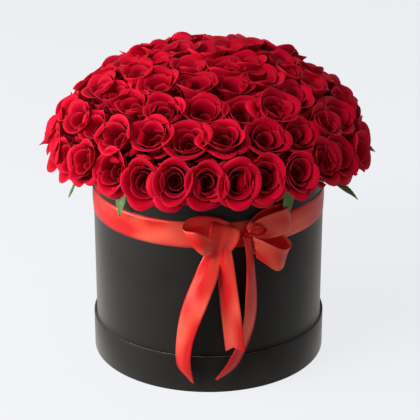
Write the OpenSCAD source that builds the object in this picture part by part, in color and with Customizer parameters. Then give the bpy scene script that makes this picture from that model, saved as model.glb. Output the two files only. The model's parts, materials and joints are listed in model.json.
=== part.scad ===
// Flower box: a round hat box of roses standing in its own lid, tied with a satin ribbon.
// Millimetres. The origin is the centre of the face the lid stands on; the bow is at the front, -Y.

/* [Box] */
// Outer diameter of the box
box_d = 300; // [250:1:360]
// Height of the box wall
box_h = 250; // [205:1:300]
// Thickness of the grey board in box and lid
board_t = 2.5; // [1.5:0.5:4]
// Gap between the box and the lid rim all round
lid_gap = 1.3; // [0.6:0.1:3]
// Height of the lid rim
lid_h = 50; // [30:1:70]

/* [Ribbon] */
// Width of the satin ribbon
ribbon_w = 34; // [25:1:42]
// Thickness of one layer of ribbon
ribbon_t = 0.6; // [0.4:0.1:1.2]
// Middle of the ribbon band below the top of the box
band_drop = 38; // [32:1:60]
// Length of a bow loop from knot to fold
loop_len = 50; // [38:1:62]
// Depth of a bow loop, from its back to its front
loop_depth = 14; // [8:1:20]

/* [Flowers] */
// Height of one rose head from calyx to petal tips
bloom_h = 56; // [46:1:68]
// Width of one rose head where it's widest
bloom_d = 35; // [28:1:36]
// Height of the dome of roses above the top of the box
dome_h = 150; // [125:1:180]
// How far the dome of roses reaches out past the box wall
dome_reach = 56; // [48:1:66]
// Diameter of a stem
stem_d = 6; // [4:0.5:8]
// Length of a leaf blade
leaf_len = 42; // [32:1:50]

/* [Foam] */
// Length of a block of floral foam
brick_l = 230; // [184:1:240]
// Width of a block of floral foam
brick_w = 110; // [92:1:132]
// Thickness of a block of floral foam
brick_t = 80; // [67:1:96]

/* [Hidden] */
$fn = 96;

// Box and lid
box_r = box_d / 2;
box_in_r = box_r - board_t;
lid_in_r = box_r + lid_gap;
lid_out_r = lid_in_r + board_t;
box_floor_z = 2 * board_t;
box_top = board_t + box_h;
band_z = box_top - band_drop;

// Liner and foam inside the box
liner_gap = 0.5;
liner_t = 0.6;
liner_r = box_in_r - liner_gap;
liner_top = box_top - 7;
foam_r = liner_r - liner_t - 0.4;
foam_z = box_floor_z + liner_t;
upright_top = foam_z + min(brick_l, box_h - 20);
seam = 0.5;
foam_top = box_top + dome_h / 3;
foam_edge = box_top + 8;
foam_drop = foam_top - foam_edge;
foam_ball_r = (foam_r * foam_r + foam_drop * foam_drop) / (2 * foam_drop);

// Rings of roses, 1 at the top of the dome: how many, and how far out as a share of the dome radius
ring_count = [4, 9, 14, 19, 24, 31];
ring_share = [0.13, 0.31, 0.485, 0.665, 0.835, 0.97];
ring_turn = [0, 14, -8, -3, -7, -1.5];
dome_r = box_r + dome_reach;
dome_mid_z = box_top + 18;
dome_rise = dome_h - 18;
petal_rise = 8;
calyx_l = 10;
stem_foot_z = upright_top + 6;
stem_foot_share = 0.56;

// A small uneven push in or out, the same every time
function push(k, i) = 2 * sin(137.5 * i + 61 * k);

// Radius, height and outward direction of a rose face in ring k, in the plane through the axis
function face_r(k) = dome_r * ring_share[k];
function face_z(k) = dome_mid_z + dome_rise * sqrt(1 - pow(ring_share[k], 2));
function face_up(k) = atan2((face_z(k) - dome_mid_z) / pow(dome_rise, 2), face_r(k) / pow(dome_r, 2));
function ring_angle(k, i) = ring_turn[k] + 360 * i / ring_count[k];
bloom_back = bloom_h - petal_rise;

// A point on the axis of rose i of ring k, a distance back from its face, as [radius, height]
function back_point(k, i, back) =
    [face_r(k) + (push(k, i) - back) * cos(face_up(k)), face_z(k) + (push(k, i) - back) * sin(face_up(k))];

// Stand a child that points along +Z on the axis of rose i of ring k, back from its face
module on_axis(k, i, back) {
    at = back_point(k, i, back);
    rotate([0, 0, ring_angle(k, i)])
        translate([0, -at[0], at[1]])
            rotate([90 - face_up(k), 0, 0])
                children();
}

// A straight rod between two points given as [radius, height] in the plane at one angle
module rod(angle, from, to, d) {
    run = to - from;
    rotate([0, 0, angle])
        translate([0, -from[0], from[1]])
            rotate([90 - atan2(run[1], run[0]), 0, 0])
                cylinder(d = d, h = norm(run), $fn = 16);
}

// Lid used as a base tray
module lid_disc() {
    color("#151515")
        cylinder(r = lid_in_r, h = board_t);
}

module lid_rim() {
    color("#191919")
        difference() {
            cylinder(r = lid_out_r, h = lid_h);
            translate([0, 0, -1])
                cylinder(r = lid_in_r, h = lid_h + 2);
        }
}

// Box
module box_floor() {
    color("#151515")
        translate([0, 0, board_t])
            cylinder(r = box_in_r, h = board_t);
}

module box_wall() {
    color("#1c1c1c")
        difference() {
            translate([0, 0, board_t])
                cylinder(r = box_r, h = box_h);
            translate([0, 0, board_t - 1])
                cylinder(r = box_in_r, h = box_h + 2);
        }
}

// Ribbon: the unrolled face of the box gives [arc length from the front, height, distance off the wall]
module ribbon_band() {
    color("#e8392f")
        translate([0, 0, band_z - ribbon_w / 2])
            difference() {
                cylinder(r = box_r + ribbon_t, h = ribbon_w);
                translate([0, 0, -1])
                    cylinder(r = box_r, h = ribbon_w + 2);
            }
}

function off_wall(p) =
    let (turn = p[0] / box_r * 180 / PI, r = box_r + p[2])
    [r * sin(turn), -r * cos(turn), p[1]];

// Direction of a path at point i, in the unrolled face
function heading(path, i) =
    let (a = path[max(i - 1, 0)], b = path[min(i + 1, len(path) - 1)])
    atan2(b[1] - a[1], b[0] - a[0]);

// The four corners of a strip of ribbon at point i of its path
function strip_corners(path, w, i) =
    let (p = path[i], h = heading(path, i), side = [-sin(h), cos(h), 0] * w[i] / 2, out = [0, 0, ribbon_t])
    [for (q = [p - side, p + side, p + side + out, p - side + out]) off_wall(q)];

module ribbon_strip(path, w) {
    last = len(path) - 1;
    points = [for (i = [0:last]) for (q = strip_corners(path, w, i)) q];
    sides = [for (i = [0:last - 1]) for (j = [0:3])
             let (a = 4 * i + j, b = 4 * i + (j + 1) % 4)
             each [[a, b, b + 4], [a, b + 4, a + 4]]];
    ends = [[3, 2, 1], [3, 1, 0], [4 * last, 4 * last + 1, 4 * last + 2], [4 * last, 4 * last + 2, 4 * last + 3]];
    polyhedron(points, concat(sides, ends), convexity = 6);
}

// A length of the path measured down from the middle of the band
function down(x, drop, off) = [x, band_z - drop, off];

module ribbon_tail_left() {
    color("#d3322a")
        ribbon_strip([down(1, 20, 12), down(-3, 42, 14), down(-10, 62, 15), down(-19, 86, 15), down(-27, 112, 14),
                      down(-32, 136, 12), down(-34, 158, 10), down(-30, 176, 9), down(-21, 190, 9)],
                     [20, 26, 28, 28, 26, 23, 20, 18, 8]);
}

module ribbon_tail_middle() {
    color("#de352c")
        ribbon_strip([down(23, 12, 12), down(23, 32, 15), down(24, 54, 17), down(27, 84, 17), down(33, 114, 17),
                      down(39, 148, 16)],
                     [16, 20, 22, 22, 21, 20]);
}

module ribbon_tail_right() {
    color("#b92620")
        ribbon_strip([down(48, 20, 7), down(51, 34, 8), down(54, 56, 9), down(55, 78, 10), down(55, 104, 10),
                      down(51, 126, 10), down(43, 150, 10), down(32, 170, 9), down(12, 190, 8)],
                     [10, 12, 14, 17, 19, 20, 19, 17, 8]);
}

// Bow
knot_x = 25;
knot_w = 32;
knot_h = 18;

module bow_knot() {
    color("#c52a24")
        rotate([0, 0, knot_x / box_r * 180 / PI])
            translate([-knot_w / 2, -box_r - ribbon_t - knot_h / 2, band_z])
                rotate([0, 90, 0])
                    cylinder(d = knot_h, h = knot_w);
}

// Outline of a loop seen along its opening: pointed at the knot, round at the fold
function loop_outline(l, d) =
    [for (a = [0:15:345]) [l * (1 - cos(a)) / 2, d / 2 * sin(a) * sin(a / 2)]];

// A loop of ribbon that starts at arc length x from the front and runs to the right, or left if turned
module bow_loop(x, drop, off, w, tilt, turned) {
    mid = x + (turned ? -1 : 1) * loop_len / 2;
    rotate([0, 0, mid / box_r * 180 / PI])
        translate([0, -box_r - off - loop_depth / 2, band_z - drop])
            rotate([0, tilt, turned ? 180 : 0])
                translate([-loop_len / 2, 0, -w / 2])
                    linear_extrude(height = w)
                        difference() {
                            polygon(loop_outline(loop_len, loop_depth));
                            translate([1.5 * ribbon_t, 0])
                                polygon(loop_outline(loop_len - 2.5 * ribbon_t, loop_depth - 2 * ribbon_t));
                        }
}

module bow_loop_left() {
    color("#e2372e")
        bow_loop(knot_x - knot_w / 2 - 1, -6, 2, ribbon_w * 0.9, 0, true);
}

module bow_loop_upper() {
    color("#d5322a")
        bow_loop(knot_x + knot_w / 2 + 1, -13, 2, ribbon_w * 0.8, -4, false);
}

module bow_loop_lower() {
    color("#e2372e")
        bow_loop(knot_x + knot_w / 2 + 2, 24, 11, ribbon_w * 0.8, 14, false);
}

// Clear film that keeps the water of the foam off the board
module liner_film() {
    color("#dfe8ea", 0.4)
        difference() {
            translate([0, 0, box_floor_z])
                cylinder(r = liner_r, h = liner_top - box_floor_z);
            translate([0, 0, foam_z])
                cylinder(r = liner_r - liner_t, h = liner_top);
        }
}

// Rows of blocks cut round to fill the liner, with a thin seam between neighbours
module foam_grid(size_x, size_y, bottom, top) {
    reach_x = ceil((foam_r - size_x / 2) / size_x);
    reach_y = ceil((foam_r - size_y / 2) / size_y);
    for (i = [-reach_x:reach_x])
        for (j = [-reach_y:reach_y])
            intersection() {
                translate([0, 0, bottom])
                    cylinder(r = foam_r, h = top - bottom);
                translate([i * size_x - (size_x - seam) / 2, j * size_y - (size_y - seam) / 2, bottom])
                    cube([size_x - seam, size_y - seam, top - bottom]);
            }
}

module foam_upright_blocks() {
    color("#2f6b3a")
        foam_grid(brick_w, brick_t, foam_z, upright_top);
}

module foam_top_blocks() {
    color("#2f6b3a")
        intersection() {
            foam_grid(brick_l, brick_w, upright_top, foam_top);
            translate([0, 0, foam_top - foam_ball_r])
                sphere(r = foam_ball_r);
        }
}

// Rose heads, their green calyxes and their cut stems, ring by ring
module rose_head() {
    r = bloom_d / 2;
    h = bloom_h;
    rotate_extrude($fn = 32)
        polygon([[0, 0], [0.4 * r, 0.02 * h], [0.8 * r, 0.25 * h], [r, 0.8 * h], [0.75 * r, 0.98 * h], [0, h]]);
}

module rose_ring(k) {
    color("#b80d26")
        for (i = [0:ring_count[k] - 1])
            on_axis(k, i, bloom_back)
                rose_head();
}

module calyx_ring(k) {
    color("#4c7034")
        for (i = [0:ring_count[k] - 1])
            on_axis(k, i, bloom_back + calyx_l)
                cylinder(d1 = stem_d + 1, d2 = 0.34 * bloom_d, h = calyx_l, $fn = 24);
}

module stem_ring(k) {
    foot = [face_r(k) * stem_foot_share, stem_foot_z];
    color("#3f6a30")
        for (i = [0:ring_count[k] - 1])
            rod(ring_angle(k, i), back_point(k, i, bloom_back + calyx_l), foot, stem_d);
}

module roses_ring_1() { rose_ring(0); }
module roses_ring_2() { rose_ring(1); }
module roses_ring_3() { rose_ring(2); }
module roses_ring_4() { rose_ring(3); }
module roses_ring_5() { rose_ring(4); }
module roses_ring_6() { rose_ring(5); }
module calyxes_ring_1() { calyx_ring(0); }
module calyxes_ring_2() { calyx_ring(1); }
module calyxes_ring_3() { calyx_ring(2); }
module calyxes_ring_4() { calyx_ring(3); }
module calyxes_ring_5() { calyx_ring(4); }
module calyxes_ring_6() { calyx_ring(5); }
module stems_ring_1() { stem_ring(0); }
module stems_ring_2() { stem_ring(1); }
module stems_ring_3() { stem_ring(2); }
module stems_ring_4() { stem_ring(3); }
module stems_ring_5() { stem_ring(4); }
module stems_ring_6() { stem_ring(5); }

// A leaf stands in the gap between two stems of the lowest ring. Its stalk leaves the foam just
// above the rim of the box and the blade falls away from it.
leaf_w = 0.5 * leaf_len;
leaf_t = 0.8;
stalk_d = 2.4;
leaf_foot = [foam_r - 22, foam_edge + 4];
leaf_neck = [box_r + 3, foam_edge + 7];

module leaf(gap, fall) {
    arc_r = (leaf_len * leaf_len + leaf_w * leaf_w) / (4 * leaf_w);
    angle = ring_turn[5] + 360 / ring_count[5] * (gap + 0.5);
    color("#35602f") {
        rod(angle, leaf_foot, leaf_neck, stalk_d);
        rotate([0, 0, angle])
            translate([0, -leaf_neck[0], leaf_neck[1]])
                rotate([fall, 0, 0])
                    translate([0, 0.5 - leaf_len / 2, -leaf_t / 2])
                        linear_extrude(height = leaf_t)
                            intersection() {
                                translate([arc_r - leaf_w / 2, 0])
                                    circle(r = arc_r);
                                translate([leaf_w / 2 - arc_r, 0])
                                    circle(r = arc_r);
                            }
    }
}

module leaf_left() { leaf(-7, 50); }
module leaf_front_left() { leaf(-4, 68); }
module leaf_front_right() { leaf(3, 74); }
module leaf_right() { leaf(5, 20); }

module leaves_back() {
    leaf(10, 40);
    leaf(14, 64);
    leaf(-13, 52);
}

lid_disc();
lid_rim();
box_floor();
box_wall();
ribbon_band();
bow_knot();
bow_loop_left();
bow_loop_upper();
bow_loop_lower();
ribbon_tail_left();
ribbon_tail_middle();
ribbon_tail_right();
liner_film();
foam_upright_blocks();
foam_top_blocks();
stems_ring_1();
stems_ring_2();
stems_ring_3();
stems_ring_4();
stems_ring_5();
stems_ring_6();
calyxes_ring_1();
calyxes_ring_2();
calyxes_ring_3();
calyxes_ring_4();
calyxes_ring_5();
calyxes_ring_6();
roses_ring_1();
roses_ring_2();
roses_ring_3();
roses_ring_4();
roses_ring_5();
roses_ring_6();
leaf_left();
leaf_front_left();
leaf_front_right();
leaf_right();
leaves_back();
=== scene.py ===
# Flower box: a round hat box of roses that stands in its own lid, tied with a satin ribbon.
# Metres, in the same frame as the CAD: the lid stands on z = 0 and the bow is at the front, on -Y.

import math
import random

import bpy
from mathutils import Euler, Matrix, Vector
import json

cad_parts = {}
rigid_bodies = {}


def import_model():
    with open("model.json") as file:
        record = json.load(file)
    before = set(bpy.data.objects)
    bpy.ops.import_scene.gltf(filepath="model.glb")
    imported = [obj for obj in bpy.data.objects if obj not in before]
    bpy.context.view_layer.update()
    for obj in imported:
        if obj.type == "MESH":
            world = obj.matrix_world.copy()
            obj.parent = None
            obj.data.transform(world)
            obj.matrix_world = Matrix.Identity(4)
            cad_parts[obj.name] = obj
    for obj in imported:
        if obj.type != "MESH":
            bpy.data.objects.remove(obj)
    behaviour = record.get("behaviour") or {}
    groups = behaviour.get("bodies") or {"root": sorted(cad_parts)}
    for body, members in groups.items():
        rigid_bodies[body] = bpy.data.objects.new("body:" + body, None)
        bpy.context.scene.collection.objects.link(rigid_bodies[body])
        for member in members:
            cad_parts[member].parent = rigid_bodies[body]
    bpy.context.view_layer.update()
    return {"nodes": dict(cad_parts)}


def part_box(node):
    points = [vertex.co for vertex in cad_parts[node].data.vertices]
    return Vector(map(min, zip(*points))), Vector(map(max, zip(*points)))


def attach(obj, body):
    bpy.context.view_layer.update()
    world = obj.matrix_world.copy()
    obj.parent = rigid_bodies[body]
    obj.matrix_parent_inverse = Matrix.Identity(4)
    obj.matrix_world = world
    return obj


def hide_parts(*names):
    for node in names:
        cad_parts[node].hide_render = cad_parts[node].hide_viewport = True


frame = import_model()
parts = frame["nodes"]


# Studio: a pale seamless sweep, a soft key light high on the left, a broad panel low on the left and a
# faint edge light behind on the right. The camera stands above the flowers and looks down at the box.
# The sweep and the backdrop look brighter to the camera than the light they throw on the box.
def new_finish(name, roughness):
    finish = bpy.data.materials.new(name)
    finish.use_nodes = True
    shader = finish.node_tree.nodes["Principled BSDF"]
    shader.inputs["Roughness"].default_value = roughness
    return finish, finish.node_tree, shader


def add_node(tree, kind, **settings):
    node = tree.nodes.new("ShaderNode" + kind)
    for key, value in settings.items():
        setattr(node, key, value)
    return node


def grain(tree, scale, detail=3.0, stretch=(1, 1, 1), source="Object"):
    coords = add_node(tree, "TexCoord")
    mapping = add_node(tree, "Mapping")
    mapping.inputs["Scale"].default_value = stretch
    noise = add_node(tree, "TexNoise")
    noise.inputs["Scale"].default_value = scale
    noise.inputs["Detail"].default_value = detail
    tree.links.new(coords.outputs[source], mapping.inputs["Vector"])
    tree.links.new(mapping.outputs["Vector"], noise.inputs["Vector"])
    return noise.outputs["Fac"]


def spread(tree, value, low, high, out_low=0.0, out_high=1.0):
    ranged = add_node(tree, "MapRange")
    ranged.inputs["From Min"].default_value = low
    ranged.inputs["From Max"].default_value = high
    ranged.inputs["To Min"].default_value = out_low
    ranged.inputs["To Max"].default_value = out_high
    tree.links.new(value, ranged.inputs["Value"])
    return ranged.outputs["Result"]


def mix_colour(tree, share, first, second):
    mix = add_node(tree, "Mix", data_type="RGBA")
    tree.links.new(share, mix.inputs["Factor"])
    for socket, colour in ((mix.inputs["A"], first), (mix.inputs["B"], second)):
        if isinstance(colour, tuple):
            socket.default_value = (*colour, 1)
        else:
            tree.links.new(colour, socket)
    return mix.outputs["Result"]


def raise_surface(tree, shader, height, strength, distance):
    bump = add_node(tree, "Bump")
    bump.inputs["Strength"].default_value = strength
    bump.inputs["Distance"].default_value = distance
    tree.links.new(height, bump.inputs["Height"])
    last = shader.inputs["Normal"]
    if last.is_linked:
        tree.links.new(last.links[0].from_socket, bump.inputs["Normal"])
    tree.links.new(bump.outputs["Normal"], last)


def new_piece(name, points, faces, finish, smooth=True):
    mesh = bpy.data.meshes.new(name)
    mesh.from_pydata([tuple(p) for p in points], [], faces)
    mesh.update()
    mesh.materials.append(finish)
    mesh.polygons.foreach_set("use_smooth", [smooth] * len(mesh.polygons))
    piece = bpy.data.objects.new(name, mesh)
    bpy.context.scene.collection.objects.link(piece)
    return piece


sweep_finish, tree, shader = new_finish("studio_paper", 0.9)
shader.inputs["Specular IOR Level"].default_value = 0.0
pale_paper = mix_colour(tree, grain(tree, 3.0), (0.11, 0.115, 0.12), (0.12, 0.125, 0.13))
tree.links.new(pale_paper, shader.inputs["Base Color"])
shader.inputs["Emission Color"].default_value = (0.955, 0.97, 1.0, 1)
seen = add_node(tree, "LightPath").outputs["Is Camera Ray"]
tree.links.new(spread(tree, seen, 0, 1, 0.40, 0.81), shader.inputs["Emission Strength"])
REACH = 14
floor_corners = [(-REACH, -REACH, 0), (REACH, -REACH, 0), (REACH, REACH, 0), (-REACH, REACH, 0)]
sweep = new_piece("floor", floor_corners, [(0, 1, 2, 3)], sweep_finish)

bpy.context.scene.view_settings.view_transform = "Standard"
world = bpy.data.worlds.new("studio")
bpy.context.scene.world = world
world.use_nodes = True
backdrop = world.node_tree.nodes["Background"]
backdrop.inputs["Color"].default_value = (0.95, 0.97, 1.0, 1)
seen = add_node(world.node_tree, "LightPath").outputs["Is Camera Ray"]
world.node_tree.links.new(spread(world.node_tree, seen, 0, 1, 0.36, 0.90), backdrop.inputs["Strength"])


def soft_light(name, place, aim, size, power):
    lamp = bpy.data.lights.new(name, "AREA")
    lamp.shape = "DISK"
    lamp.size = size
    lamp.energy = power
    light = bpy.data.objects.new(name, lamp)
    light.location = place
    light.rotation_euler = (Vector(aim) - Vector(place)).to_track_quat("-Z", "Y").to_euler()
    bpy.context.scene.collection.objects.link(light)


soft_light("key", (-1.6, -1.5, 1.8), (0, 0, 0.3), 1.0, 46)
soft_light("left_panel", (-2.3, -0.5, 0.5), (0, 0, 0.15), 1.6, 60)
soft_light("right_edge", (2.3, 0.9, 0.8), (0, 0, 0.25), 1.0, 1)

camera_data = bpy.data.cameras.new("camera")
camera_data.sensor_width = 36
camera_data.lens = 126.4
camera = bpy.data.objects.new("camera", camera_data)
camera.location = (0, -1.80, 0.916)
LOOK_DOWN = 22.04
camera.rotation_euler = (math.radians(90 - LOOK_DOWN), 0, -0.0011)
bpy.context.scene.collection.objects.link(camera)
bpy.context.scene.camera = camera


# Lid used as a base tray: a disc of grey board with a rim glued round it, both wrapped in matt black
# paper that is folded over the rim's upper edge.
def lathe(name, outline, finish, steps=192):
    count = len(outline)
    points = []
    for i in range(steps):
        a = 2 * math.pi * i / steps
        points += [(r * math.sin(a), -r * math.cos(a), z) for r, z in outline]
    faces = []
    for i in range(steps):
        here, there = i * count, (i + 1) % steps * count
        for j in range(count):
            above = (j + 1) % count
            faces.append((here + j, there + j, there + above, here + above))
    return new_piece(name, points, faces, finish)


def tube_outline(inner, outer, low, high, edge):
    corners = [(outer, low, 270, 360), (outer, high, 0, 90), (inner, high, 90, 180), (inner, low, 180, 270)]
    outline = []
    for r, z, start, end in corners:
        mid_r = r - edge if r == outer else r + edge
        mid_z = z - edge if z == high else z + edge
        for k in range(4):
            a = math.radians(start + (end - start) * k / 3)
            outline.append((mid_r + edge * math.cos(a), mid_z + edge * math.sin(a)))
    return outline


black_paper, tree, shader = new_finish("black_paper", 0.5)
shader.inputs["Specular IOR Level"].default_value = 0.13
shader.inputs["Sheen Weight"].default_value = 1.0
shader.inputs["Sheen Roughness"].default_value = 0.36
shader.inputs["Sheen Tint"].default_value = (1.0, 0.95, 0.88, 1)
fibres = grain(tree, 1400, 2.0)
mottle = grain(tree, 26, 4.0)
near_black = mix_colour(tree, mottle, (0.009, 0.0075, 0.006), (0.014, 0.012, 0.010))
tree.links.new(near_black, shader.inputs["Base Color"])
tree.links.new(spread(tree, mottle, 0.3, 0.7, 0.44, 0.56), shader.inputs["Roughness"])
raise_surface(tree, shader, fibres, 0.12, 0.0003)
raise_surface(tree, shader, mottle, 0.15, 0.001)

FOLD_R = 0.0009
rim_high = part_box("lid_rim")[1]
wall_low, wall_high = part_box("box_wall")
box_r = wall_high.x
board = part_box("lid_disc")[1].z
lid_r = rim_high.x
rim_outline = tube_outline(lid_r - board, lid_r, 0, rim_high.z, FOLD_R)
lid_rim = lathe("lid_rim_wrapped", rim_outline, black_paper)
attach(lid_rim, "lid_tray")
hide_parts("lid_rim")


def dress(node, finish):
    parts[node].data.materials.clear()
    parts[node].data.materials.append(finish)


dress("lid_disc", black_paper)


# Box: a tube of grey board wrapped in the same black paper, with the paper rolled over its top edge,
# and a disc glued in as its floor.
wall_outline = tube_outline(box_r - board, box_r, wall_low.z, wall_high.z, FOLD_R)
box_wall = lathe("box_wall_wrapped", wall_outline, black_paper)
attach(box_wall, "box")
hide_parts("box_wall")
dress("box_floor", black_paper)


# Ribbon: 34 mm coral satin, pulled tight round the box as one band that closes under the knot. The
# threads run along it as a fine bump. Its red is painted lighter and darker in long streaks as painted
# sheen, and broad pale coral patches are painted in as painted highlight.
satin, tree, shader = new_finish("coral_satin", 0.30)
shader.inputs["IOR"].default_value = 1.55
shader.inputs["Specular IOR Level"].default_value = 0.7
shader.inputs["Specular Tint"].default_value = (1.0, 0.34, 0.24, 1)
shader.inputs["Anisotropic"].default_value = 0.6
threads = grain(tree, 1.0, 2.0, (60, 5200, 1), "UV")
streaks_and_painted_sheen = grain(tree, 1.0, 3.0, (14, 90, 1), "UV")
waves_and_painted_highlight = grain(tree, 1.0, 1.0, (13, 22, 1), "UV")
# Painted sheen: the red is painted lighter and darker in long streaks, the same streaks that bump the
# surface below.
red_with_painted_sheen = mix_colour(tree, streaks_and_painted_sheen, (0.50, 0.002, 0.006), (0.70, 0.012, 0.013))
# Painted highlight: broad pale coral patches mixed into the colour, on the same waves that ripple the
# surface.
red_with_painted_sheen = mix_colour(tree, spread(tree, waves_and_painted_highlight, 0.41, 0.66, 0, 0.62), red_with_painted_sheen, (0.95, 0.16, 0.09))
tree.links.new(red_with_painted_sheen, shader.inputs["Base Color"])
raise_surface(tree, shader, threads, 0.10, 0.0002)
raise_surface(tree, shader, streaks_and_painted_sheen, 0.15, 0.0008)
raise_surface(tree, shader, waves_and_painted_highlight, 0.4, 0.005)

band_low, band_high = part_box("ribbon_band")
ribbon_w = band_high.z - band_low.z
band_z = (band_low.z + band_high.z) / 2
ribbon_t = 0.00045


def off_wall(along, height, out):
    turn = along / box_r
    r = box_r + out
    return Vector((r * math.sin(turn), -r * math.cos(turn), height))


def strip(name, rows, finish, thickness=ribbon_t, closed=False):
    cols = len(rows[0])
    points = [p for row in rows for p in row]
    faces = []
    for i in range(len(rows) if closed else len(rows) - 1):
        here, there = i * cols, (i + 1) % len(rows) * cols
        faces += [(here + j, there + j, there + j + 1, here + j + 1) for j in range(cols - 1)]
    piece = new_piece(name, points, faces, finish)
    run = [0.0]
    for before, after in zip(rows, rows[1:]):
        run.append(run[-1] + (after[cols // 2] - before[cols // 2]).length)
    chart = piece.data.uv_layers.new(name="UVMap")
    for face in piece.data.polygons:
        wraps = closed and face.vertices[1] < face.vertices[0]
        for corner, vertex in zip(face.loop_indices, face.vertices):
            i, j = divmod(vertex, cols)
            u = run[i] if not (wraps and i == 0) else run[-1] + (run[1] - run[0])
            chart.data[corner].uv = (u, ribbon_w * j / (cols - 1))
    wall = piece.modifiers.new("layer", "SOLIDIFY")
    wall.thickness = thickness
    wall.offset = 0
    return piece


BAND_STEPS, BAND_COLS, BAND_OUT = 360, 6, 0.0006
band_rows = []
for i in range(BAND_STEPS):
    along = 2 * math.pi * box_r * i / BAND_STEPS
    ripple = 0.00025 * math.sin(i * 0.21) + 0.0002 * math.sin(i * 0.093 + 1)
    row = []
    for j in range(BAND_COLS + 1):
        height = band_z + (j / BAND_COLS - 0.5) * ribbon_w
        crown = 0.0003 * math.cos(math.pi * (j / 3 - 1))
        row.append(off_wall(along, height, BAND_OUT + ripple * (0.4 + j / BAND_COLS) + crown))
    band_rows.append(row)
band = strip("satin_band", band_rows, satin, closed=True)
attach(band, "box")
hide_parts("ribbon_band")


# Tails: three free lengths of the ribbon that fall from the knot, each with one edge lifted off the
# box and the other close to it. Two are cut to slanting points, and the middle one has a notch.
def smooth_path(points, steps):
    out = []
    for i in range(len(points) - 1):
        p = [Vector(points[max(0, min(len(points) - 1, i + k))]) for k in (-1, 0, 1, 2)]
        for n in range(steps):
            t = n / steps
            out.append(0.5 * (2 * p[1] + (p[2] - p[0]) * t + (2 * p[0] - 5 * p[1] + 4 * p[2] - p[3]) * t ** 2
                              + (3 * p[1] - p[0] - 3 * p[2] + p[3]) * t ** 3))
    out.append(Vector(points[-1]))
    return out


def edge_point(x, h, off):
    return x / 1000, band_z + h / 1000, off / 1000


def ribbon_run(name, node, stations, notch=0.0):
    # A station: the two edges, each as (along the box, above the band's middle, off the wall) in mm,
    # then how far the ribbon bellies out between them and how deep its gathers are.
    steps, cols = 8, 12
    lefts = smooth_path([edge_point(*left) for left, *_ in stations], steps)
    rights = smooth_path([edge_point(*right) for _, right, *_ in stations], steps)
    shapes = smooth_path([(belly / 1000, gathers / 1000, 0) for _, _, belly, gathers in stations], steps)
    lefts = [off_wall(*p) for p in lefts]
    rights = [off_wall(*p) for p in rights]
    mids = [(a + b) / 2 for a, b in zip(lefts, rights)]
    last = len(mids) - 1
    rows = []
    for i, (a, b, shape) in enumerate(zip(lefts, rights, shapes)):
        ahead = (mids[min(i + 1, last)] - mids[max(i - 1, 0)]).normalized()
        face = (b - a).cross(ahead).normalized()
        near_end = max(0.0, (i - last + steps) / steps)
        row = []
        for j in range(cols + 1):
            t = j / cols
            lift = shape.x * 4 * t * (1 - t) + shape.y * math.cos(5 * math.pi * t)
            row.append(a.lerp(b, t) + face * lift - ahead * notch * near_end * (1 - abs(2 * t - 1)))
        rows.append(row)
    piece = strip(name, rows, satin)
    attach(piece, "box")
    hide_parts(node)


ribbon_run("tail_left", "ribbon_tail_left", [
    ((2, -8, 10), (16, -14, 8), -1, 0.3),
    ((-9, -30, 11), (13, -32, 16), -2, 0.1),
    ((-17, -52, 10), (9, -50, 22), -3, 0),
    ((-23, -69, 10), (3, -69, 24), -3, 0),
    ((-30, -91, 10), (-3, -87, 27), -3, 0),
    ((-35, -114, 10), (-10, -109, 28), -3, 0),
    ((-38, -138, 10), (-16, -131, 28), -3, 0),
    ((-39, -162, 10), (-19, -154, 26), -3, 0),
    ((-36, -178, 10), (-19, -172, 22), -3, 0),
    ((-25, -190, 10), (-17, -197, 14), -1, 0)])
ribbon_run("tail_middle", "ribbon_tail_middle", [
    ((13, -6, 13), (24, -7, 12), -1, 0.4),
    ((10, -28, 14), (27, -27, 20), -2, 0.1),
    ((11, -53, 12), (29, -51, 26), -2, 0),
    ((13, -86, 11), (32, -82, 30), -3, 0),
    ((16, -116, 11), (35, -112, 31), -3, 0),
    ((20, -153, 11), (38, -147, 30), -3, 0)], notch=0.008)
ribbon_run("tail_right", "ribbon_tail_right", [
    ((39, 2, 12), (48, -2, 9), -1, 0.4),
    ((41, -14, 17), (52, -16, 7), -2, 0.2),
    ((41, -33, 22), (55, -35, 4), -4, 0),
    ((40, -56, 25), (58, -59, 3), -5, 0),
    ((39, -78, 25), (60, -82, 3), -5, 0),
    ((38, -102, 24), (60, -107, 3), -5, 0),
    ((35, -125, 22), (56, -131, 3), -4, 0),
    ((29, -149, 18), (46, -158, 4), -3, 0),
    ((19, -171, 17), (33, -179, 6), -2, 0),
    ((8, -191, 12), (11, -193, 10), -1, 0)])


# Bow: three loops of the same ribbon, gathered where they enter the knot, and a short length wrapped
# over the middle. The upper right loop ends in a small roll beside the knot.
ribbon_run("loop_left", "bow_loop_left", [
    ((24, 20, 9), (16, -6, 8), 1, 0.8),
    ((9, 27, 8), (3, -3, 6), -2, 0.4),
    ((-7, 29, 8), (-9, -4, 6), -3, 0),
    ((-21, 26, 9), (-13, -6, 8), -3, 0),
    ((-28, 20, 14), (-15, -9, 14), 0, 0),
    ((-26, 14, 20), (-9, -15, 21), 3, 0),
    ((-12, 14, 25), (-3, -18, 22), 4, 0),
    ((4, 3, 20), (3, -19, 16), 1, 0.8)])
ribbon_run("loop_upper", "bow_loop_upper", [
    ((46, 14, 4), (52, -1, 4), 0, 1.0),
    ((65, 29, 4), (69, -1, 4), 0, 0.3),
    ((93, 33, 4), (97, -1, 4), 0, 0),
    ((102, 28, 7), (107, -4, 7), 0, 0),
    ((93, 28, 12), (97, -5, 12), 1, 0),
    ((75, 27, 14), (78, -5, 15), 2, 0),
    ((62, 24, 14), (65, -3, 18), 2, 0.3),
    ((53, 19, 12), (54, 2, 22), 1, 0.6),
    ((45, 14, 8), (43, 10, 24), 1, 0.3),
    ((50, 18, 8), (48, 17, 24), 0, 0),
    ((59, 17, 8), (57, 17, 24), 0, 0),
    ((66, 10, 8), (64, 10, 24), 0, 0),
    ((62, 4, 8), (58, 4, 23), 0, 0),
    ((53, 3, 8), (49, 3, 18), 0, 0.4),
    ((43, 6, 8), (41, 3, 12), 0, 0.8)])
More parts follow.
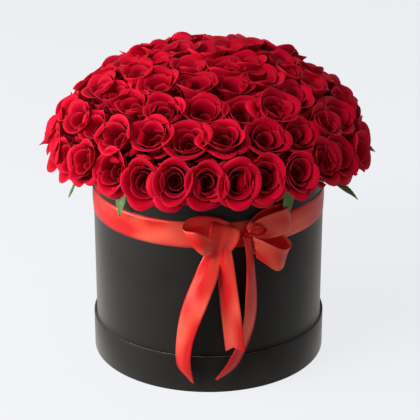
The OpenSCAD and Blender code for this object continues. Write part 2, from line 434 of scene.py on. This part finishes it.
ribbon_run("loop_lower", "bow_loop_lower", [
    ((44, 2, 8), (49, -23, 8), 0, 0.9),
    ((64, 0, 7), (65, -31, 7), -3, 0.6),
    ((86, -4, 8), (85, -37, 8), -4, 0),
    ((97, -12, 10), (94, -45, 10), -1, 0),
    ((101, -21, 15), (87, -48, 17), 1, 0),
    ((84, -20, 24), (75, -46, 24), 3, 0),
    ((64, -7, 25), (63, -35, 22), 5, 0.4),
    ((49, 2, 17), (54, -27, 15), 2, 0.8)])
ribbon_run("knot_wrap", "bow_knot", [
    ((9, 18, 3), (32, 10, 3), 0, 0.2),
    ((4, 23, 12), (34, 13, 12), 1, 0.3),
    ((2, 17, 20), (34, 6, 18), 4, 0.8),
    ((0, 3, 23), (30, -5, 19), 5, 1.1),
    ((0, -12, 20), (24, -16, 16), 4, 0.8),
    ((3, -26, 13), (19, -26, 12), 2, 0.3),
    ((5, -31, 5), (17, -30, 6), 0, 0.2)])


# Liner and foam: a cup of clear film, and blocks of wet green floral foam cut round to fill it, flat
# blocks on upright ones, with the top trimmed to a dome.
clear_film, tree, shader = new_finish("clear_film", 0.05)
shader.inputs["Transmission Weight"].default_value = 1.0
shader.inputs["IOR"].default_value = 1.12
shader.inputs["Base Color"].default_value = (0.97, 0.98, 0.98, 1)
raise_surface(tree, shader, grain(tree, 30, 4.0), 0.8, 0.004)
dress("liner_film", clear_film)

wet_foam, tree, shader = new_finish("wet_floral_foam", 0.85)
pores = grain(tree, 900, 4.0)
damp = grain(tree, 14, 4.0)
foam_green = mix_colour(tree, damp, (0.012, 0.050, 0.018), (0.028, 0.095, 0.035))
tree.links.new(foam_green, shader.inputs["Base Color"])
raise_surface(tree, shader, pores, 0.6, 0.0008)
raise_surface(tree, shader, damp, 0.4, 0.003)
dress("foam_upright_blocks", wet_foam)
dress("foam_top_blocks", wet_foam)


# Roses: the stems, calyxes and heads of a ring stand where its CAD solids are. A place is the foot
# of a head, with its axis, and the two directions across it: round the box and up the dome.
def islands(node):
    mesh = parts[node].data
    groups, seen = {}, {}
    for v in mesh.vertices:
        key = tuple(round(c, 5) for c in v.co)
        groups.setdefault(key, len(groups))
        seen[v.index] = groups[key]
    parent = list(range(len(groups)))

    def root(a):
        while parent[a] != a:
            parent[a] = parent[parent[a]]
            a = parent[a]
        return a

    for face in mesh.polygons:
        first = root(seen[face.vertices[0]])
        for other in face.vertices[1:]:
            parent[root(seen[other])] = first
    solids = {}
    for key, index in groups.items():
        solids.setdefault(root(index), []).append(Vector(key))
    return list(solids.values())


def middle(points):
    return sum(points, Vector()) / len(points)


RINGS = range(1, 7)
ROSE_SEED = 11
chance = random.Random(ROSE_SEED)
ring_places = {}
for ring in RINGS:
    calyx_mids = [middle(s) for s in islands(f"calyxes_ring_{ring}")]
    places = []
    for solid in islands(f"roses_ring_{ring}"):
        centre = middle(solid)
        calyx_mid = min(calyx_mids, key=lambda c: (c - centre).length)
        axis = (centre - calyx_mid).normalized()
        foot = centre + axis * min((p - centre).dot(axis) for p in solid)
        across = Vector((-centre.y, centre.x, 0)).normalized()
        places.append((foot, axis, across))
    places.sort(key=lambda p: math.atan2(p[0].y, p[0].x))
    ring_places[ring] = places


def place_points(name, ring, scale_for):
    mesh = bpy.data.meshes.new(name)
    places = ring_places[ring]
    mesh.from_pydata([tuple(foot) for foot, _, _ in places], [], [])
    fields = {"turn": "FLOAT_VECTOR", "size": "FLOAT_VECTOR", "kind": "INT", "rose_tone": "FLOAT"}
    for label, kind in fields.items():
        mesh.attributes.new(label, kind, "POINT")
    turns, sizes, kinds, tones = (mesh.attributes[label] for label in fields)
    for i, (foot, axis, across) in enumerate(places):
        size, tilt, half_turn, kind = scale_for(ring, i)
        up = axis.cross(across)
        stand = Matrix((across, up, axis)).transposed()
        stand = stand @ Euler(tilt).to_matrix()
        if half_turn:
            stand = stand @ Matrix.Rotation(math.pi, 3, "Z")
        turns.data[i].vector = stand.to_euler()
        sizes.data[i].vector = size
        kinds.data[i].value = kind
        tones.data[i].value = chance.random()
    return mesh


def stand_on_places(name, mesh, heads, finish):
    tree = bpy.data.node_groups.new(name, "GeometryNodeTree")
    tree.interface.new_socket("Places", in_out="INPUT", socket_type="NodeSocketGeometry")
    heads_in = tree.interface.new_socket("Heads", in_out="INPUT", socket_type="NodeSocketCollection")
    finish_in = tree.interface.new_socket("Finish", in_out="INPUT", socket_type="NodeSocketMaterial")
    tree.interface.new_socket("Pieces", in_out="OUTPUT", socket_type="NodeSocketGeometry")
    start = tree.nodes.new("NodeGroupInput")
    end = tree.nodes.new("NodeGroupOutput")
    kinds = tree.nodes.new("GeometryNodeCollectionInfo")
    kinds.inputs["Separate Children"].default_value = True
    kinds.inputs["Reset Children"].default_value = True
    place = tree.nodes.new("GeometryNodeInstanceOnPoints")
    place.inputs["Pick Instance"].default_value = True
    real = tree.nodes.new("GeometryNodeRealizeInstances")
    dress_up = tree.nodes.new("GeometryNodeSetMaterial")
    fields = {}
    for field, kind in (("turn", "FLOAT_VECTOR"), ("size", "FLOAT_VECTOR"), ("kind", "INT")):
        fields[field] = tree.nodes.new("GeometryNodeInputNamedAttribute")
        fields[field].data_type = kind
        fields[field].inputs["Name"].default_value = field
    tree.links.new(start.outputs["Places"], place.inputs["Points"])
    tree.links.new(start.outputs["Heads"], kinds.inputs["Collection"])
    tree.links.new(kinds.outputs["Instances"], place.inputs["Instance"])
    tree.links.new(fields["kind"].outputs["Attribute"], place.inputs["Instance Index"])
    tree.links.new(fields["turn"].outputs["Attribute"], place.inputs["Rotation"])
    tree.links.new(fields["size"].outputs["Attribute"], place.inputs["Scale"])
    tree.links.new(place.outputs["Instances"], real.inputs["Geometry"])
    tree.links.new(real.outputs["Geometry"], dress_up.inputs["Geometry"])
    tree.links.new(start.outputs["Finish"], dress_up.inputs["Material"])
    tree.links.new(dress_up.outputs["Geometry"], end.inputs["Pieces"])
    carrier = bpy.data.objects.new(name + "_places", mesh)
    bpy.context.scene.collection.objects.link(carrier)
    maker = carrier.modifiers.new("stand", "NODES")
    maker.node_group = tree
    maker[heads_in.identifier] = heads
    maker[finish_in.identifier] = finish
    bpy.context.view_layer.update()
    depsgraph = bpy.context.evaluated_depsgraph_get()
    made = bpy.data.meshes.new_from_object(carrier.evaluated_get(depsgraph),
                                           preserve_all_data_layers=True, depsgraph=depsgraph)
    bpy.data.objects.remove(carrier)
    made.name = name
    piece = bpy.data.objects.new(name, made)
    bpy.context.scene.collection.objects.link(piece)
    return piece


# Rose head: eighteen or twenty petals of deep red velvet. A tight bud stands in the middle of an open
# cup, and the outer petals roll back at the rim, each to a soft point. Nine kinds stand in the rings.
def grid_faces(rows, cols, base=0):
    faces = []
    for i in range(rows):
        here, there = base + i * (cols + 1), base + (i + 1) * (cols + 1)
        faces += [(here + j, here + j + 1, there + j + 1, there + j) for j in range(cols)]
    return faces


def petal(turn, half, belly, foot, wall, lean, curl, tuck, point, wave, phase, rows, cols):
    step = wall / rows
    r, z = belly, foot
    profile = []
    cup_rows, neck_r = 3, 0.0015
    for k in range(cup_rows):
        t = math.pi / 2 * k / cup_rows
        profile.append((neck_r + (belly - neck_r) * math.sin(t), foot * (1 - math.cos(t))))
    for k in range(rows + 1):
        t = k / rows
        profile.append((r, z))
        roll = max(0.0, (t - 0.45) / 0.55)
        heading = math.radians(90 - lean * t - curl * roll ** 1.5)
        r += step * math.cos(heading)
        z += step * math.sin(heading)
    count = len(profile) - 1
    points, reach = [], []
    for i in range(count + 1):
        for j in range(cols + 1):
            v = 2 * j / cols - 1
            s = i / count * (1 - 0.13 * abs(v) ** 3 + point * (1 - abs(v)) ** 2 * (i / count) ** 4)
            k = min(count - 1, int(s * count))
            f = s * count - k
            pr = profile[k][0] * (1 - f) + profile[k + 1][0] * f
            pz = profile[k][1] * (1 - f) + profile[k + 1][1] * f
            opening = 0.5 + 0.5 * math.sin(math.pi / 2 * min(1, s / 0.5))
            width = half * opening * (1 - 0.10 * max(0, s - 0.75) / 0.25)
            a = turn + v * width
            pr += tuck * v * min(1, 2 * s) + wave * math.cos(3 * v + phase) * s ** 3
            pz += wave * math.sin(4 * v + phase) * s ** 3
            points.append(Vector((pr * math.cos(a), pr * math.sin(a), pz)))
            reach.append(s)
    rim = [0.0] * (count * (cols + 1)) + [1.0] * (cols + 1)
    return points, grid_faces(count, cols), rim, reach


# Each whorl: petals, half width in degrees, belly, height of the cup and wall in mm, lean and curl in
# degrees, rows, columns. The last whorl is the guard petals, or a collar that fills the gaps.
WHORLS = [(2, 150, 2.8, 8, 13, 0, 0, 3, 7),
          (3, 82, 5.2, 9, 18, 3, 0, 4, 6),
          (3, 80, 8.4, 11, 25, 5, 8, 4, 7),
          (3, 78, 12.2, 12, 32, 8, 22, 6, 9),
          (4, 66, 15.8, 13, 36, 11, 50, 7, 9)]
GUARD = (3, 46, 18.0, 12, 34, 24, 95, 6, 7)
COLLAR = (5, 36, 16.6, 12, 24, 36, 45, 4, 5)


def rose_head(name, seed, openness, guarded):
    luck = random.Random(seed)
    points, faces, rims, tones, depths, reaches = [], [], [], [], [], []
    start = luck.uniform(0, 2 * math.pi)
    bud = luck.uniform(0.7, 1.25)
    whorls = WHORLS + [GUARD if guarded else COLLAR]
    for level, (count, half, belly, foot, wall, lean, curl, rows, cols) in enumerate(whorls):
        start += luck.uniform(0.5, 1.2)
        for k in range(count):
            turn = start + 2 * math.pi * (k + luck.uniform(-0.12, 0.12)) / count
            if level == len(WHORLS) and guarded:
                turn = -math.pi / 2 + (k - 1) * 1.25 + luck.uniform(-0.15, 0.15)
            more = openness * (0.2 + 0.2 * level)
            grown = petal(turn,
                          half=math.radians(half * luck.uniform(0.94, 1.06)),
                          belly=belly * luck.uniform(0.97, 1.04) / 1000,
                          foot=foot / 1000,
                          wall=wall * (bud if level < 3 else 1) * luck.uniform(0.96, 1.04) / 1000,
                          lean=lean * (0.8 + more) + luck.uniform(-2, 2),
                          curl=curl * (0.6 + more) * luck.uniform(0.75, 1.25),
                          tuck=0.0014,
                          point=0.01 + 0.03 * luck.random(),
                          wave=(0.0002 + 0.00022 * level) * luck.uniform(0.5, 1.4),
                          phase=luck.uniform(0, 6.28),
                          rows=rows, cols=cols)
            base = len(points)
            tone = luck.random()
            points += grown[0]
            faces += [tuple(base + v for v in f) for f in grown[1]]
            rims += grown[2]
            reaches += grown[3]
            tones += [tone] * len(grown[0])
            depths += [min(1, level / (len(WHORLS) - 1))] * len(grown[0])
    head = new_piece(name, points, faces, velvet)
    for label, values in (("rim", rims), ("petal_tone", tones), ("whorl", depths), ("reach", reaches)):
        head.data.attributes.new(label, "FLOAT", "POINT").data.foreach_set("value", values)
    skin = head.modifiers.new("petal", "SOLIDIFY")
    skin.thickness = 0.0005
    skin.offset = 0
    return head


velvet, tree, shader = new_finish("rose_velvet", 0.6)
shader.inputs["Specular IOR Level"].default_value = 0.25
shader.inputs["Specular Tint"].default_value = (1.0, 0.10, 0.14, 1)
shader.inputs["Sheen Weight"].default_value = 0.22
shader.inputs["Sheen Roughness"].default_value = 0.35
shader.inputs["Sheen Tint"].default_value = (1.0, 0.14, 0.22, 1)


def read_value(tree, name):
    return add_node(tree, "Attribute", attribute_name=name).outputs["Fac"]


# Petal red differs at random from petal to petal and rose to rose. The layers below add painted shade and a
# painted highlight.
body_red = mix_colour(tree, read_value(tree, "petal_tone"), (0.44, 0.000, 0.012), (0.61, 0.001, 0.023))
for label, low, high, share_low, share_high, layer_colour in (
        ("rose_tone", 0, 1, 0.0, 0.4, (0.58, 0.003, 0.030)),
        # Painted shade: the inner whorls, deep in the cup, are painted almost black red.
        ("whorl", 0, 1, 0.85, 0.0, (0.10, 0.000, 0.002)),
        # Painted shade: the lower part of each petal, down in the cup, is painted darker.
        ("reach", 0.45, 0.92, 0.92, 0.0, (0.035, 0.000, 0.001)),
        # Painted highlight: the petal rims are painted a paler red.
        ("rim", 0.5, 1, 0, 0.15, (0.85, 0.06, 0.08))):
    share = spread(tree, read_value(tree, label), low, high, share_low, share_high)
    body_red = mix_colour(tree, share, body_red, layer_colour)
tree.links.new(body_red, shader.inputs["Base Color"])
raise_surface(tree, shader, grain(tree, 220, 3.0), 0.2, 0.0005)
raise_surface(tree, shader, grain(tree, 60, 2.0), 0.25, 0.0015)

heads = bpy.data.collections.new("rose_heads")
KINDS, FIRST_GUARDED, HEAD_SEED = 9, 6, 40
for kind in range(KINDS):
    openness = 0.25 + 0.18 * (kind % 5)
    head = rose_head(f"rose_kind_{kind}", HEAD_SEED + kind, openness, kind >= FIRST_GUARDED)
    shaped = bpy.data.meshes.new_from_object(head.evaluated_get(bpy.context.evaluated_depsgraph_get()))
    bpy.data.objects.remove(head)
    heads.objects.link(bpy.data.objects.new(f"rose_kind_{kind}", shaped))

# How much wider round the box, and how much longer up the dome, the heads of each ring stand.
ring_shape = {1: (1.04, 0.98), 2: (1.06, 0.96), 3: (1.10, 0.94),
              4: (1.13, 0.94), 5: (1.10, 0.96), 6: (0.98, 1.12)}
LOW_RING_KINDS = (1, 3, 4, 6, 7, 8)


def rose_size(ring, i):
    across, upward = ring_shape[ring]
    size = chance.uniform(0.93, 1.07)
    lift = chance.uniform(1.06, 1.18) + (0.10 if ring < 4 else 0)
    tilt = (chance.uniform(-0.15, 0.15), chance.uniform(-0.15, 0.15), chance.uniform(-0.4, 0.4))
    lowest = ring == 6
    kind = chance.choice(LOW_RING_KINDS) if lowest else chance.randrange(KINDS)
    return (size * across, size * upward, lift), tilt, not lowest and chance.random() < 0.5, kind


for ring in RINGS:
    name = f"rose_heads_{ring}"
    roses = stand_on_places(name, place_points(name, ring, rose_size), heads, velvet)
    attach(roses, "arrangement")
    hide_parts(f"roses_ring_{ring}")


# Calyxes and stems: under each head a small green hip with five narrow sepals that curl back from it,
# and a round stem cut short and pushed into the foam.
green, tree, shader = new_finish("green_stem", 0.5)
shader.inputs["Specular IOR Level"].default_value = 0.3
skin_tone = grain(tree, 60, 3.0)
stem_green = mix_colour(tree, skin_tone, (0.016, 0.040, 0.008), (0.060, 0.105, 0.024))
tree.links.new(stem_green, shader.inputs["Base Color"])
raise_surface(tree, shader, grain(tree, 1.0, 3.0, (500, 500, 60)), 0.25, 0.0004)


def calyx(name, seed):
    luck = random.Random(seed)
    sides = 10
    hip = [(0.0012, -0.0098), (0.0036, -0.0090), (0.0052, -0.0060),
           (0.0058, -0.0030), (0.0050, 0.0004), (0.0012, 0.0014)]
    points, faces = [], []
    for i in range(sides):
        a = 2 * math.pi * i / sides
        points += [Vector((r * math.cos(a), r * math.sin(a), z)) for r, z in hip]
    count = len(hip)
    for i in range(sides):
        here, there = i * count, (i + 1) % sides * count
        faces += [(here + j, there + j, there + j + 1, here + j + 1) for j in range(count - 1)]
    faces.append(tuple(i * count for i in reversed(range(sides))))
    faces.append(tuple(i * count + count - 1 for i in range(sides)))
    for k in range(5):
        turn = 2 * math.pi * (k + luck.uniform(-0.15, 0.15)) / 5
        length = luck.uniform(0.019, 0.026)
        heading = math.radians(luck.uniform(20, 50))
        curl = math.radians(luck.uniform(60, 120))
        r, z, rows = 0.0045, -0.0008, 9
        base = len(points)
        for i in range(rows + 1):
            t = i / rows
            half = 0.0030 * (1 - t) ** 0.8 * (1 + 0.5 * math.sin(math.pi * t)) + 0.0002
            sway = 0.002 * t * t * luck.uniform(-1, 1)
            for v in (-1, 0, 1):
                across = v * half + sway
                rise = z + 0.0006 * abs(v)
                for skin in (0.0002, -0.0002):
                    points.append(Vector((r * math.cos(turn) - across * math.sin(turn),
                                          r * math.sin(turn) + across * math.cos(turn), rise + skin)))
            tilt = heading - curl * t * t
            r += length / rows * math.cos(tilt)
            z += length / rows * math.sin(tilt)
        for i in range(rows):
            p, q = base + 6 * i, base + 6 * (i + 1)
            faces += [(p, q, q + 2, p + 2), (p + 2, q + 2, q + 4, p + 4)]
            faces += [(p + 3, q + 3, q + 1, p + 1), (p + 5, q + 5, q + 3, p + 3)]
            faces += [(p + 1, q + 1, q, p), (p + 4, q + 4, q + 5, p + 5)]
        end = base + 6 * rows
        faces += [(base, base + 2, base + 3, base + 1), (base + 2, base + 4, base + 5, base + 3)]
        faces += [(end + 1, end + 3, end + 2, end), (end + 3, end + 5, end + 4, end + 2)]
    return new_piece(name, points, faces, green)


calyxes = bpy.data.collections.new("calyxes")
CALYX_KINDS, CALYX_SEED = 4, 70
for kind in range(CALYX_KINDS):
    calyxes.objects.link(calyx(f"calyx_kind_{kind}", CALYX_SEED + kind))


def calyx_size(ring, i):
    return (1, 1, 1), (0, 0, chance.uniform(-3, 3)), False, chance.randrange(CALYX_KINDS)


for ring in RINGS:
    name = f"calyxes_{ring}"
    green_cups = stand_on_places(name, place_points(name, ring, calyx_size), calyxes, green)
    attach(green_cups, "arrangement")
    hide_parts(f"calyxes_ring_{ring}")
    dress(f"stems_ring_{ring}", green)
for shape in list(calyxes.objects):
    bpy.data.objects.remove(shape)


# Leaves: green rose leaves on thin stalks pushed into the foam just above the rim, each of one long
# leaflet and two side ones. They have a folded midrib, side veins and a saw edge, and droop a little.
leaf_green, tree, shader = new_finish("rose_leaf", 0.42)
shader.inputs["Specular IOR Level"].default_value = 0.3
blotch = grain(tree, 45, 4.0)
vein = read_value(tree, "vein")
blade = mix_colour(tree, blotch, (0.040, 0.105, 0.020), (0.170, 0.270, 0.055))
blade = mix_colour(tree, spread(tree, vein, 0.2, 1, 0, 0.75), blade, (0.13, 0.22, 0.07))
tree.links.new(blade, shader.inputs["Base Color"])
raise_surface(tree, shader, vein, 0.5, 0.0006)
raise_surface(tree, shader, blotch, 0.2, 0.0008)


def leaflet(points, faces, veins, root, ahead, side, up, length, width, droop):
    rows, cols = 28, 10
    base = len(points)
    for i in range(rows + 1):
        t = i / rows
        saw = 1 + (0.10 if i % 2 else -0.04)
        half = width / 2 * math.sin(math.pi * min(1, t ** 0.75 * 0.98 + 0.02)) ** 0.8 * saw
        bend = math.radians(droop) * t
        mid = root + ahead * (length * t * math.cos(bend / 2)) - up * (length * t * math.sin(bend / 2))
        for j in range(cols + 1):
            v = 2 * j / cols - 1
            fold = 0.28 * abs(v) * half + 0.0006 * math.sin(4 * math.pi * t + 2 * v)
            points.append(mid + side * (v * half) + up * fold + ahead * (0.06 * length * abs(v) * (t - 0.5)))
            rib = max(0.0, 1 - abs(v) * 7)
            side_rib = max(0.0, math.cos(2 * math.pi * (7 * t - 2.4 * abs(v)))) ** 6 * (1 - 0.5 * abs(v))
            veins.append(max(rib, 0.6 * side_rib))
    faces += grid_faces(rows, cols, base)


def leaf_piece(name, node, reach, swing=0, rise=0):
    # The long leaflet is reach times the CAD blade, turned by swing and lifted by rise, in degrees.
    points, faces, veins = [], [], []
    for solid in islands(node):
        centre = middle(solid)
        out = Vector((centre.x, centre.y, 0)).normalized()
        foot = min(solid, key=lambda p: p.dot(out))
        neck = max(solid, key=lambda p: p.z)
        tip = max(solid, key=lambda p: (p - foot).length)
        neck = out * (box_r + 0.003) + Vector((0, 0, neck.z - 0.0015))
        ahead = (tip - neck).normalized()
        side = ahead.cross(Vector((0, 0, 1))).normalized()
        up = side.cross(ahead)
        length = (tip - neck).length
        swung = Matrix.Rotation(math.radians(swing), 3, up)
        ahead, side = swung @ ahead, swung @ side
        lifted = Matrix.Rotation(math.radians(rise), 3, side)
        ahead, up = lifted @ ahead, lifted @ up
        leaflet(points, faces, veins, neck, ahead, side, up, reach * length, 0.42 * length, 14)
        for turn, share in ((52, 0.74), (-52, 0.70)):
            swung = Matrix.Rotation(math.radians(turn), 3, up)
            leaflet(points, faces, veins, neck - ahead * 0.006, swung @ ahead, swung @ side, up,
                    length * share, 0.36 * length, 18)
        stalk_from = out * foot.dot(out) + Vector((0, 0, foot.z))
        along = (neck - stalk_from).normalized()
        stalk_up = side.cross(along)
        base = len(points)
        for step, r in ((0.0, 0.0011), (0.5, 0.0010), (1.0, 0.0008)):
            mid = stalk_from.lerp(neck + along * 0.001, step)
            for k in range(8):
                a = math.pi * k / 4
                points.append(mid + side * (r * math.cos(a)) + stalk_up * (r * math.sin(a)))
                veins.append(0.6)
        for i in range(2):
            here = base + 8 * i
            faces += [(here + k, here + (k + 1) % 8, here + 8 + (k + 1) % 8, here + 8 + k) for k in range(8)]
    piece = new_piece(name, points, faces, leaf_green)
    piece.data.attributes.new("vein", "FLOAT", "POINT").data.foreach_set("value", veins)
    blade_skin = piece.modifiers.new("blade", "SOLIDIFY")
    blade_skin.thickness = 0.0004
    blade_skin.offset = 0
    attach(piece, "arrangement")
    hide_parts(node)


leaf_piece("rose_leaf_left", "leaf_left", 1.3)
leaf_piece("rose_leaf_front_left", "leaf_front_left", 0.95, 2)
leaf_piece("rose_leaf_front_right", "leaf_front_right", 0.9, -12)
leaf_piece("rose_leaf_right", "leaf_right", 1.5, -4, 3)
leaf_piece("rose_leaves_back", "leaves_back", 1.0)
